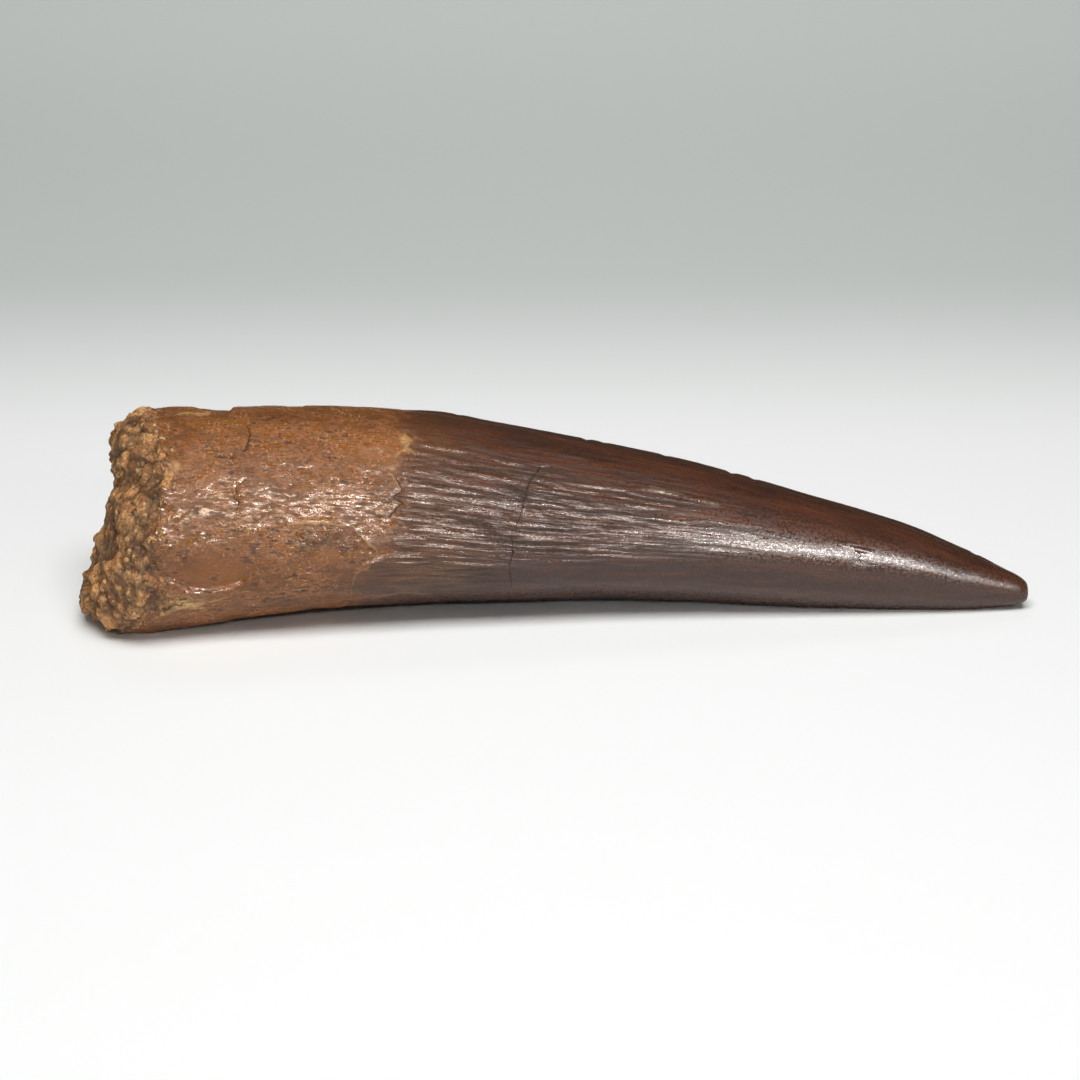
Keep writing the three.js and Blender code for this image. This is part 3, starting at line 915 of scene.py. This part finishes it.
class StudioSettings(bpy.types.PropertyGroup):
    """Floor, lights and camera."""

    floor_colour: colour_property("Floor", "Pale paper under the tooth", (0.9, 0.91, 0.9))
    # Painted shade: the paper behind the tooth is coloured greyer where less light reaches the backdrop.
    back_shade_colour: colour_property("Back", "Greyer paper behind the tooth", (0.62, 0.65, 0.63))
    top_power: bpy.props.FloatProperty(
        name="Top light", description="Large soft light above", default=1.8, unit="POWER"
    )
    back_power: bpy.props.FloatProperty(
        name="Back light", description="Soft light over the paper behind the tooth",
        default=1.12, unit="POWER",
    )
    front_power: bpy.props.FloatProperty(
        name="Front light", description="Strip light in front", default=0.26, unit="POWER"
    )
    gleam_power: bpy.props.FloatProperty(
        name="Gleam", description="Strip lights that only show in the gloss", default=4.8, unit="POWER"
    )
    ambient: share_property("Ambient", "Strength of the light from all around", 0.05)
    elevation: bpy.props.FloatProperty(
        name="Elevation", description="Angle the camera looks down at", default=LEAN, subtype="ANGLE"
    )
    distance: bpy.props.FloatProperty(
        name="Distance", description="Distance of the camera", default=0.266, unit="LENGTH"
    )
    lens: bpy.props.FloatProperty(name="Lens", description="Focal length in millimetres", default=70.1)


class FOSSIL_OT_tooth(bpy.types.Operator):
    """Builds the tooth from a block-out tube, sculpts it and gives it its material"""

    bl_idname = "fossil.tooth"
    bl_label = "Build tooth"

    def execute(self, context):
        shape, finish = context.scene.fossil_shape, context.scene.fossil_finish
        tooth = block_out_tube()
        surface = Surface(tooth)
        wrap_crust_on_solid(tooth, surface)
        paint_masks(surface)
        sculpt_root(surface)
        sculpt_crown(surface, shape)
        sculpt_crust(surface, shape)
        surface.keep_vector("flow", flow_coordinates(surface))
        for name in MARKS:
            surface.keep(name, surface.stains[name] if name in surface.stains else getattr(surface, name))
        tooth.data.materials.append(fossil_material(finish))
        deselect_all()
        tooth.select_set(True)
        context.view_layer.objects.active = tooth
        bpy.ops.object.shade_smooth()
        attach(tooth, "root")
        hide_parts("tooth")
        return {"FINISHED"}


class FOSSIL_OT_stage(bpy.types.Operator):
    """Lays the pale floor and sets up the lights and the camera"""

    bl_idname = "fossil.stage"
    bl_label = "Build stage"

    def execute(self, context):
        studio = context.scene.fossil_studio
        lay_floor(studio)
        set_lights(context, studio)
        set_camera(context, studio)
        return {"FINISHED"}


def lay_floor(studio):
    """A wide sheet of pale paper, with painted shade turning it greyer behind the tooth."""
    deselect_all()
    bpy.ops.mesh.primitive_plane_add(size=FLOOR_SIZE, location=(0, 0, 0))
    floor = bpy.context.object
    floor.name = "paper_floor"
    material = bpy.data.materials.new("pale_paper")
    material.use_nodes = True
    shader = material.node_tree.nodes["Principled BSDF"]
    n = NodeTree(material.node_tree)
    place = n.add("ShaderNodeSeparateXYZ", {0: n.add("ShaderNodeTexCoord").outputs["Object"]}).outputs
    # Painted shade: the floor turns greyer towards the back.
    grey_span = {0: place[1], 1: SHADE_FROM, 2: SHADE_TO}
    grey = n.add("ShaderNodeMapRange", grey_span, interpolation_type="SMOOTHSTEP").outputs[0]
    n.feed(shader.inputs["Base Color"], n.mix(grey, studio.floor_colour, studio.back_shade_colour))
    shader.inputs["Roughness"].default_value = 0.9
    shader.inputs["Specular IOR Level"].default_value = 0
    floor.data.materials.append(material)


def add_light(name, place, aim, size, power):
    """A rectangular area light turned to its aim and hidden from the camera."""
    light = bpy.data.lights.new(name, "AREA")
    light.shape = "RECTANGLE"
    light.size, light.size_y = size
    light.energy = power
    lamp = bpy.data.objects.new(name, light)
    bpy.context.scene.collection.objects.link(lamp)
    lamp.location = place
    lamp.rotation_euler = (Vector(aim) - Vector(place)).to_track_quat("-Z", "Y").to_euler()
    lamp.visible_camera = False
    return lamp


def set_lights(context, studio):
    """Soft lights above and behind, a strip in front with its gleams, and even light all around."""
    top = add_light("top_light", (0.0, -0.13, 0.40), (0, -0.02, 0), (0.36, 0.2), studio.top_power)
    top.visible_glossy = False
    back = add_light("back_light", (0, 0.5, 0.5), (0, 0.5001, 0), (1.0, 0.4), studio.back_power)
    back.data.spread = BACK_SPREAD
    back.visible_glossy = False
    place, aim = (0.06, STRIP_Y, STRIP_Z), (0.01, 0, 0.01)
    add_light("front_light", place, aim, (0.6, STRIP_WIDTH), studio.front_power)
    for name, middle, length, share, colour in GLEAMS:
        place, aim = (middle, STRIP_Y, STRIP_Z), (middle, 0, 0.01)
        gleam = add_light(name, place, aim, (length, STRIP_WIDTH), studio.gleam_power * share)
        gleam.visible_diffuse = False
        gleam.data.color = colour
    world = bpy.data.worlds.new("studio")
    world.use_nodes = True
    background = world.node_tree.nodes["Background"]
    background.inputs["Color"].default_value = (1, 1, 1, 1)
    background.inputs["Strength"].default_value = studio.ambient
    context.scene.world = world
    context.scene.view_settings.view_transform = "Standard"
    context.scene.view_settings.look = "None"


def set_camera(context, studio):
    """The camera at the photograph's viewing angle, looking at the middle of the picture."""
    aim = Vector(PICTURE_MIDDLE)
    away = Vector((0, -math.cos(studio.elevation), math.sin(studio.elevation))) * studio.distance
    camera = bpy.data.cameras.new("camera")
    camera.lens = studio.lens
    camera.sensor_width = SENSOR_WIDTH
    camera.clip_start = 0.01
    eye = bpy.data.objects.new("camera", camera)
    context.scene.collection.objects.link(eye)
    eye.location = aim + away
    eye.rotation_euler = (-away).to_track_quat("-Z", "Y").to_euler()
    context.scene.camera = eye


class FOSSIL_PT_panel(bpy.types.Panel):
    """Lists the tooth's steps and settings in the sidebar."""

    bl_label = "Fossil tooth"
    bl_idname = "FOSSIL_PT_panel"
    bl_space_type = "VIEW_3D"
    bl_region_type = "UI"
    bl_category = "Fossil"

    def draw(self, context):
        for operator in (FOSSIL_OT_tooth, FOSSIL_OT_stage):
            self.layout.operator(operator.bl_idname)
        scene = context.scene
        for settings in (scene.fossil_shape, scene.fossil_finish, scene.fossil_studio):
            box = self.layout.box()
            for name in settings.__annotations__:
                box.prop(settings, name)


CLASSES = (ToothShape, ToothFinish, StudioSettings, FOSSIL_OT_tooth, FOSSIL_OT_stage, FOSSIL_PT_panel)


def register():
    for item in CLASSES:
        bpy.utils.register_class(item)
    bpy.types.Scene.fossil_shape = bpy.props.PointerProperty(type=ToothShape)
    bpy.types.Scene.fossil_finish = bpy.props.PointerProperty(type=ToothFinish)
    bpy.types.Scene.fossil_studio = bpy.props.PointerProperty(type=StudioSettings)


def unregister():
    for name in ("fossil_shape", "fossil_finish", "fossil_studio"):
        delattr(bpy.types.Scene, name)
    for item in reversed(CLASSES):
        bpy.utils.unregister_class(item)


def main():
    register()
    bpy.ops.fossil.tooth()
    bpy.ops.fossil.stage()


if __name__ == "__main__":
    main()
